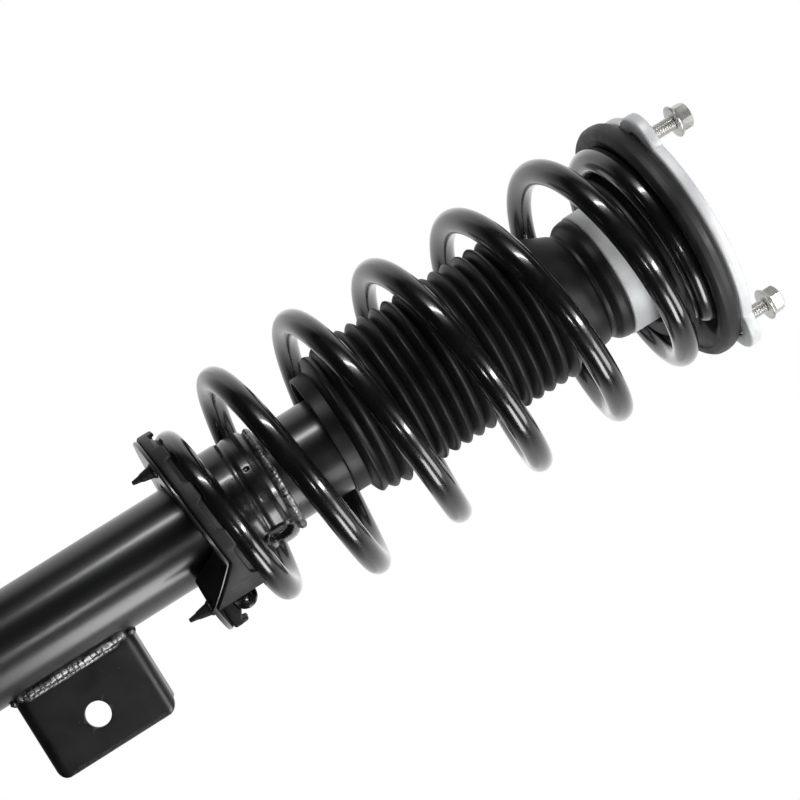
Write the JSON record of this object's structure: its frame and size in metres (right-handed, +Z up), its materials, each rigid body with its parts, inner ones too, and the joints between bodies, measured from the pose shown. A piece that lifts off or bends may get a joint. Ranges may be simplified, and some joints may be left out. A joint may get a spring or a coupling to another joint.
{
  "type": "strut assembly",
  "caption": "Front suspension strut: damper tube with link bracket, coil spring on rubber pads, dust boot and a studded aluminium top mount on a bearing.",
  "frame": {"origin": "centre of the strut tube's lower end, on the strut's axis", "axes": "+Z up the strut's axis to the top mount, +X towards the stabiliser-link bracket, the bracket's hole faces -Y"},
  "size_m": [0.1505, 0.1498, 0.559],
  "materials": {
    "black_tube": "satin black electro-coat",
    "black_bracket": "satin black electro-coat over pressed sheet",
    "weld_bead": "painted weld bead, rough and glossy",
    "spring_coat": "gloss black powder coat",
    "seat_paint": "satin black pressed steel",
    "cast_alloy": "light die-cast aluminium, blasted",
    "zinc": "bright zinc plate",
    "steel": "plain machined steel",
    "rod_chrome": "hard chrome, polished",
    "black_rubber": "matte moulded rubber",
    "boot_rubber": "matte blow-moulded bellows",
    "foam": "microcellular polyurethane",
    "sintered": "sintered iron",
    "bronze": "bronze-lined bush",
    "cage_plastic": "natural nylon",
    "band_plastic": "filled PTFE band"
  },
  "bodies": {
    "damper": {"strut_tube": "black_tube", "base_cap": "black_tube", "base_valve": "sintered", "check_plate": "steel", "pressure_tube": "steel", "rod_guide": "sintered", "rod_guide_bush": "bronze", "rod_seal": "black_rubber", "bump_cap": "black_tube", "link_bracket": "black_bracket", "bracket_weld": "weld_bead", "lower_spring_seat": "seat_paint", "seat_weld": "weld_bead", "lower_spring_pad": "black_rubber", "coil_spring": "spring_coat"},
    "upper_seat": {"upper_spring_pad": "black_rubber", "upper_spring_seat": "steel", "bearing_lower_race": "steel"},
    "bearing_cage": {"bearing_cage": "cage_plastic", "bearing_balls": "rod_chrome"},
    "top_mount": {"bearing_upper_race": "steel", "mount_plate": "cast_alloy", "mount_studs": "zinc", "stud_nuts": "zinc", "mount_bush": "black_rubber", "bush_sleeve": "steel", "rod_washer": "zinc", "rod_nut": "zinc", "piston_rod": "rod_chrome", "rebound_stop": "black_rubber", "piston": "sintered", "piston_band": "band_plastic", "valve_shims": "steel", "piston_nut": "zinc", "bump_washer": "steel", "bump_stop": "foam", "dust_boot": "boot_rubber"}
  },
  "joints": [
    {"name": "suspension_travel", "type": "slide", "parent": "damper", "child": "upper_seat", "axis": [0, 0, 1], "range_m": [-0.11, 0], "stiffness_N_per_m": 28000, "springref_m": 0.05, "deforming": ["coil_spring", "dust_boot", "bump_stop"]},
    {"name": "steering_swivel", "type": "hinge", "parent": "upper_seat", "child": "top_mount", "pos_m": [0, 0, 0.52], "axis": [0, 0, 1], "continuous": true},
    {"name": "cage_roll", "type": "hinge", "parent": "upper_seat", "child": "bearing_cage", "pos_m": [0, 0, 0.52], "axis": [0, 0, 1], "continuous": true}
  ],
  "couplings": [
    {"joint": "cage_roll", "follows": "steering_swivel", "ratio": 0.5}
  ]
}
